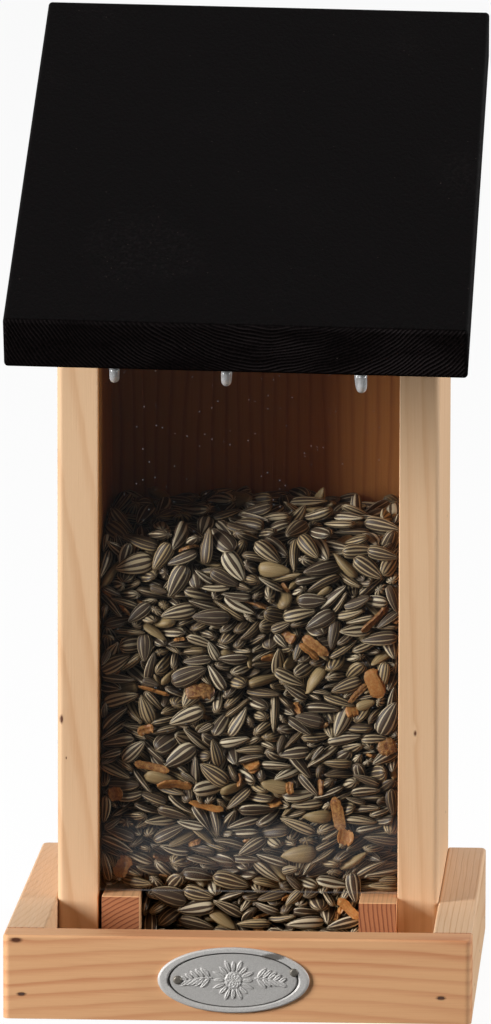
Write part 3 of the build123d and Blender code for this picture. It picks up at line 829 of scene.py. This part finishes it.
def settle(plan, walls):
    """Drops the pieces with Blender's rigid bodies and returns each one's resting place and turn."""
    scene = bpy.context.scene
    bpy.ops.rigidbody.world_add()
    world = scene.rigidbody_world
    world.substeps_per_frame = 6
    scene.gravity = (0, 0, FALL)
    world.solver_iterations = 10
    world.point_cache.frame_end = SETTLE_FRAMES + 1
    world.collection = bpy.data.collections.new("falling")
    hull = hull_mesh("hull", 6, 6)

    def set_contact(body, shape, margin):
        body.collision_shape = shape
        body.friction = 0.55
        body.restitution = 0.0
        body.use_margin = True
        body.collision_margin = margin

    fixed = []
    for index, (low, high) in enumerate(walls):
        mesh = bpy.data.meshes.new("wall")
        shape = bmesh.new()
        bmesh.ops.create_cube(shape, size=1.0)
        shape.to_mesh(mesh)
        shape.free()
        size = (Vector(high) - Vector(low)) * SIM_SCALE
        mesh.transform(Matrix.Diagonal((*size, 1)))
        wall = bpy.data.objects.new(f"wall_{index}", mesh)
        scene.collection.objects.link(wall)
        with bpy.context.temp_override(object=wall, active_object=wall, selected_objects=[wall]):
            bpy.ops.rigidbody.object_add(type="PASSIVE")
        set_contact(wall.rigid_body, "BOX", 0.0)
        wall.location = (Vector(high) + Vector(low)) / 2 * SIM_SCALE
        fixed.append(wall)
    falling = []
    for index, (_, place, turn, size) in enumerate(plan):
        item = bpy.data.objects.new(f"falling_{index}", hull)
        scene.collection.objects.link(item)
        item.location = place * SIM_SCALE
        item.rotation_euler = turn
        item.scale = size * SIM_SCALE
        falling.append(item)
    with bpy.context.temp_override(
        object=falling[0], active_object=falling[0], selected_objects=falling
    ):
        bpy.ops.rigidbody.objects_add(type="ACTIVE")
    for item in falling:
        set_contact(item.rigid_body, "CONVEX_HULL", 0.01)
        item.rigid_body.linear_damping = 0.1
        item.rigid_body.angular_damping = 0.25
    for number in range(1, SETTLE_FRAMES + 1):
        scene.frame_set(number)
    rest = []
    for item in falling:
        place, turn, _ = item.matrix_world.decompose()
        rest.append((place / SIM_SCALE, turn))
    for item in fixed + falling:
        bpy.data.objects.remove(item)
    bpy.ops.rigidbody.world_remove()
    scene.frame_set(1)
    return rest


SEED_RINGS, SEED_SIDES = 11, 14


def seed_shape(size, bend):
    """Points of one striped hull: a flattened drop with a blunt ridge along each side."""
    points = [(-0.5 * size.x, 0.0, 0.0)]
    for i in range(1, SEED_RINGS):
        along = i / SEED_RINGS
        half = seed_width(along)
        lift = bend * size.z * (along - 0.5) ** 2
        for k in range(SEED_SIDES):
            turn = math.tau * k / SEED_SIDES
            ridge = 1.0 - 0.1 * abs(math.sin(2 * turn)) ** 1.5
            points.append(
                (
                    (along - 0.5) * size.x,
                    half * size.y * math.cos(turn) * ridge,
                    half * size.z * math.sin(turn) * ridge + lift,
                )
            )
    points.append((0.5 * size.x, 0.0, bend * size.z * 0.25))
    return np.array(points)


def drop_topology():
    """Faces of a drop with a point at each end, and the (along, around) of every face corner."""
    rings, sides = SEED_RINGS, SEED_SIDES
    faces, spots = [], []
    for k in range(sides):
        after = (k + 1) % sides
        faces.append((0, 1 + after, 1 + k))
        spots += [(0, (k + 0.5) / sides), (1 / rings, (k + 1) / sides), (1 / rings, k / sides)]
    for i in range(rings - 2):
        start = 1 + i * sides
        low, high = (i + 1) / rings, (i + 2) / rings
        for k in range(sides):
            after = (k + 1) % sides
            faces.append((start + k, start + after, start + sides + after, start + sides + k))
            here, there = k / sides, (k + 1) / sides
            spots += [(low, here), (low, there), (high, there), (high, here)]
    last = 1 + (rings - 1) * sides
    start = last - sides
    for k in range(sides):
        after = (k + 1) % sides
        faces.append((last, start + k, start + after))
        inner = (rings - 1) / rings
        spots += [(1, (k + 0.5) / sides), (inner, k / sides), (inner, (k + 1) / sides)]
    return faces, spots


def chip_shape(size, dice):
    """Points of a splinter of wood or broken hull: a flat, ragged sliver with broken ends."""
    corners = [dice.uniform(0.75, 1.1) for _ in range(SEED_SIDES)]
    curl = dice.uniform(-0.9, 0.9) * size.z
    points = [(-0.44 * size.x, 0, 0)]
    for i in range(1, SEED_RINGS):
        along = i / SEED_RINGS
        half = 0.5 * min(1.0, 5.0 * along, 6.0 * (1 - along)) * dice.uniform(0.9, 1.06)
        across = dice.gauss(0, 0.035) * size.y
        for k in range(SEED_SIDES):
            turn = math.tau * (k + 0.5) / SEED_SIDES
            square = min(1.3, 1.0 / max(abs(math.cos(turn)), abs(math.sin(turn)))) * corners[k]
            points.append(
                (
                    (along - 0.5 + 0.05 * (corners[k] - 1.0)) * size.x,
                    half * size.y * math.cos(turn) * square + across,
                    half * size.z * math.sin(turn) * square + curl * (2 * along - 1) ** 2,
                )
            )
    points.append((0.44 * size.x, 0, 0))
    return np.array(points)


def pile_mesh(name, items):
    """One mesh of many seeds, with each seed's own stripes, tone and shade as face attributes."""
    faces, spots = drop_topology()
    count = 2 + (SEED_RINGS - 1) * SEED_SIDES
    points, all_faces, tones = [], [], []
    for index, (kind, place, turn, size) in enumerate(items):
        dice = random.Random(f"{name}{index}")
        if kind == "chip":
            shape = chip_shape(size, dice)
            tone = (1.0, dice.random(), dice.random())
        else:
            shape = seed_shape(size, dice.gauss(0, 0.5))
            tone = (0.0, dice.random(), dice.random())
        turned = shape @ np.array(turn.to_matrix()).T + np.array(place)
        points.append(turned)
        all_faces += [tuple(v + index * count for v in face) for face in faces]
        tones.append(tone)
    mesh = bpy.data.meshes.new(name)
    mesh.from_pydata(np.concatenate(points).tolist(), [], all_faces)
    around = mesh.uv_layers.new(name="hull")
    around.data.foreach_set("uv", np.tile(np.array(spots, float), (len(items), 1)).ravel())
    own = mesh.attributes.new("own", "FLOAT_VECTOR", "FACE")
    own.data.foreach_set("vector", np.repeat(np.array(tones), len(faces), axis=0).ravel())
    rounded = np.repeat(np.array(tones)[:, 0] < 0.5, len(faces))
    mesh.polygons.foreach_set("use_smooth", rounded)
    mesh.update()
    return mesh


def seed_hulls():
    """Charcoal and cream stripes along each hull, tan and plain hulls among them, and brown chips."""
    tree = Tree("striped_hulls")
    spot = tree.parts(tree.node("ShaderNodeUVMap", uv_map="hull").outputs[0])
    along, around = spot[0], spot[1]
    own = tree.parts(tree.attribute("own").outputs["Vector"])
    chip, luck, shade = own[0], own[1], own[2]
    turn = tree.math("MULTIPLY", around, math.tau)
    circle = tree.joined(
        tree.math("MULTIPLY_ADD", tree.math("COSINE", turn), 1.7, tree.math("MULTIPLY", luck, 37.0)),
        tree.math("MULTIPLY", tree.math("SINE", turn), 1.7),
        tree.math("MULTIPLY_ADD", along, 0.8, tree.math("MULTIPLY", shade, 61.0)),
    )
    waver = tree.noise(circle, 2.0)
    stripes = tree.math("FLOOR", tree.math("MULTIPLY_ADD", luck, 5.0, 7.0))
    swing = tree.math("MULTIPLY_ADD", turn, stripes, tree.math("MULTIPLY", waver, 4.5))
    wave = tree.math("SINE", swing)
    fine = tree.noise(tree.scaled(circle, (4.6, 4.6, 1.0)), 3.0, 0.6)
    edge = tree.math("ABSOLUTE", tree.math("COSINE", turn))
    level = tree.ranged(tree.math("POWER", shade, 2.0), 0.0, 1.0, 0.95, -0.1)
    level = tree.math("SUBTRACT", level, tree.math("MULTIPLY", tree.ranged(edge, 0.8, 1.0), 0.45))
    signal = tree.math("MULTIPLY_ADD", fine, 0.9, tree.math("ADD", wave, -0.45))
    stripe = tree.ranged(tree.math("SUBTRACT", signal, level), -0.22, 0.22, smooth=True)
    ends = tree.ranged(along, 0.9, 1.0)
    dark = tree.mix(tree.ranged(fine, 0.3, 0.75), srgb(38, 27, 20), srgb(98, 79, 62))
    cream = tree.mix(luck, srgb(200, 185, 156), srgb(164, 138, 94))
    hull = tree.mix(stripe, dark, cream)
    plain = tree.mix(tree.ranged(fine, 0.3, 0.75), srgb(124, 100, 66), srgb(176, 152, 108))
    hull = tree.mix(tree.ranged(luck, 0.91, 0.95), hull, plain)
    hull = tree.mix(tree.math("MULTIPLY", ends, 0.5), hull, srgb(96, 76, 54))
    crumb = tree.noise(tree.scaled(tree.place(), (1.2, 1.2, 1.2)), 4.0, 0.65)
    brown = tree.mix(luck, srgb(170, 108, 52), srgb(78, 38, 20))
    wood = tree.mix(tree.ranged(crumb, 0.4, 0.75), brown, srgb(182, 138, 80))
    colour = tree.mix(chip, hull, wood)
    tree.principled(
        base_color=colour,
        roughness=tree.ranged(fine, 0.3, 0.7, 0.42, 0.62),
        specular_ior_level=0.4,
        normal=tree.bump(tree.math("ADD", fine, tree.math("MULTIPLY", crumb, 0.5)), 0.35, 0.12 * MM),
    )
    return tree.material


def shaded_heap_hulls():
    """Painted shade: dark mottling that stands for hulls lying in shadow deep in the heap."""
    tree = Tree("shaded_heap_hulls")
    hull = tree.cells(tree.scaled(tree.place(), (0.5, 0.5, 1.1)))
    # painted shade: dark browns down to near black, for hulls in shadow between other hulls
    shade = tree.mix(tree.ranged(hull[0], 0.2, 0.8), srgb(58, 45, 34), srgb(16, 11, 8))
    tree.principled(
        base_color=shade,
        roughness=tree.ranged(hull[0], 0.0, 1.0, 0.7, 0.9),
        specular_ior_level=0.1,
        normal=tree.bump(hull[0], 0.8, 0.8 * MM),
    )
    return tree.material


def core_mesh(low, high):
    """The hidden middle of the heap: a block with a rough skin that takes the painted shade of the
    seeds deep inside.
    """
    mesh = bpy.data.meshes.new("shaded_seed_core")
    shape = bmesh.new()
    bmesh.ops.create_cube(shape, size=1.0)
    bmesh.ops.subdivide_edges(shape, edges=shape.edges, cuts=15, use_grid_fill=True)
    dice = random.Random("core")
    size = high - low
    for vertex in shape.verts:
        inward = 1.0 - 0.02 * dice.random()
        vertex.co = low + Vector(
            (size[axis] * (0.5 + vertex.co[axis] * inward) for axis in range(3))
        )
    shape.to_mesh(mesh)
    shape.free()
    return mesh


def add_seeds():
    """Fills the silo and the tray with hulls that have fallen into place."""
    random.seed(11)
    low, high = silo_inside()
    core = (
        Vector((low.x + CORE_GAP, low.y + SEEDS_DEEP, low.z)),
        Vector((high.x - CORE_GAP, high.y - CORE_GAP, high.z - CORE_COVER)),
    )
    plan = drop_plan(low, high, core)
    rest = settle(plan, pile_walls(low, high, core))
    hulls = seed_hulls()
    groups = {"silo_seeds_low": [], "silo_seeds_middle": [], "silo_seeds_top": [], "tray_heap": []}
    room = high.z - low.z
    for (kind, _, _, size), (place, turn) in zip(plan, rest):
        if place.y < low.y:
            if place.z < heap_top(place.y, low) + 1 * MM:
                groups["tray_heap"].append((kind, place, turn, size))
            continue
        slope = BACK_RISE * (high.x - place.x) / (high.x - low.x)
        level = high.z - SURFACE_DROP + slope * (place.y - low.y) / (high.y - low.y)
        if place.z > level:
            continue
        if place.z < low.z + LOW_SHARE * room:
            groups["silo_seeds_low"].append((kind, place, turn, size))
        elif place.z < low.z + MIDDLE_SHARE * room:
            groups["silo_seeds_middle"].append((kind, place, turn, size))
        else:
            groups["silo_seeds_top"].append((kind, place, turn, size))
    for name, items in groups.items():
        piece = add_piece(name, pile_mesh(name, items), "silo", hulls)
        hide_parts("tray_seeds" if name == "tray_heap" else "silo_seeds")
    # painted shade: a dark block stands for the shaded middle of the heap
    middle = add_piece("shaded_seed_core", core_mesh(*core), "silo", shaded_heap_hulls())
    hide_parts("silo_seeds")


# ---------------------------------------------------------------- the object


def finish_boards():
    """Every wooden board gets its own grain direction, pith and ring spacing."""
    paint(
        "left_side_panel",
        pine(
            "pine_left",
            "z",
            (-150.0, -60.0),
            8.0,
            (-0.164, 0.01),
            seed=1.3,
            contrast=0.42,
            wander=4.0,
            knots=(((78.0, -54.8), (0, 1), 1.0, 1.6), ((66.5, -53.4), (0, 1), 0.3, 0.3)),
            # painted shade on the inner face, which looks along +X
            inside=1,
        ),
    )
    paint(
        "right_side_panel",
        pine(
            "pine_right",
            "z",
            (190.0, -40.0),
            5.2,
            (-0.03, 0.01),
            seed=2.9,
            contrast=0.4,
            wander=5.0,
            knots=(((75.0, 49.0), (0, 1), 0.7, 1.4),),
            # painted shade on the inner face, which looks along -X
            inside=-1,
        ),
    )
    paint(
        "back_panel",
        pine(
            "pine_back",
            "z",
            (190.0, 60.0),
            3.9,
            (0.0, 0.02),
            seed=3.7,
            wander=9.0,
            contrast=0.7,
            # painted shade: the whole back panel takes the darker browns that stand for the shade
            # inside the silo
            light=SHADE_DARK_PINE,
            dark=SHADE_DARK_RING_PINE,
        ),
    )
    paint("back_batten", pine("pine_batten", "z", (-80.0, 150.0), 3.2, seed=5.2))
    paint("base_board", pine("pine_base", "y", (-60.0, 20.0), 4.0, seed=6.1))
    paint(
        "tray_front_rail",
        pine(
            "pine_front_rail",
            "x",
            (-60.0, -110.0),
            3.9,
            (0.0, -0.01),
            seed=7.7,
            wander=6.0,
            bow=(20.0, 6.0),
            fade=0.4,
            ends=(WARM_PINE, RED_RING_PINE),
            knots=(
                ((-62.1, 7.2), (0, 2), 1.0, 0.0),
                ((58.8, 7.6), (0, 2), 1.0, 0.0),
                ((-63.6, 23.0), (0, 2), 1.3, -1.0),
            ),
            light=WARM_PINE,
            dark=RED_RING_PINE,
            contrast=0.52,
        ),
    )
    paint(
        "tray_left_rail",
        pine("pine_left_rail", "y", (60.0, -220.0), 1.9, (0.0, 0.16), seed=8.4, contrast=0.3),
    )
    paint(
        "tray_right_rail",
        pine(
            "pine_right_rail",
            "y",
            (-10.0, 260.0),
            1.7,
            seed=9.5,
            contrast=0.75,
            fade=0.75,
            wander=2.0,
        ),
    )
    paint(
        "left_window_block",
        pine("pine_left_block", "y", (-52.0, 3.0), 1.25, seed=10.2, wander=1.5, light=WARM_PINE),
    )
    paint(
        "right_window_block",
        pine("pine_right_block", "y", (30.0, 150.0), 1.3, seed=11.6, wander=2.2, light=WARM_PINE),
    )
    paint("roof_board", black_stain())


def finish_metal():
    """Bright plating on the hooks, hinges and hanger, steel screws, rusted brads and dark nails."""
    zinc = metal("zinc_plate", srgb(240, 241, 242), 0.3, 0.06, metallic=0.3)
    steel = metal("bare_steel", srgb(186, 186, 186), 0.34)
    dark = metal("dark_nail", srgb(128, 122, 112), 0.5, 0.2, metallic=0.5)
    rust = metal("rusted_brad", srgb(84, 50, 32), 0.8, 0.2, metallic=0.0)
    for node in ("left_hook", "centre_hook", "right_hook", "hanger_plate"):
        paint(node, zinc)
    for side in ("left", "right"):
        for part in ("hinge_back_leaf", "hinge_roof_leaf", "hinge_pin"):
            paint(f"{side}_{part}", zinc)
    for node in ("roof_hinge_screws", "back_hinge_screws", "hanger_screws", "base_screws"):
        paint(node, steel)
    for node in ("front_rail_brads", "side_rail_brads", "back_panel_brads"):
        paint(node, rust)
    paint("badge_nails", dark)


add_camera()
add_studio()
finish_boards()
finish_metal()
paint("window", clear_acrylic())
add_badge()
add_seeds()
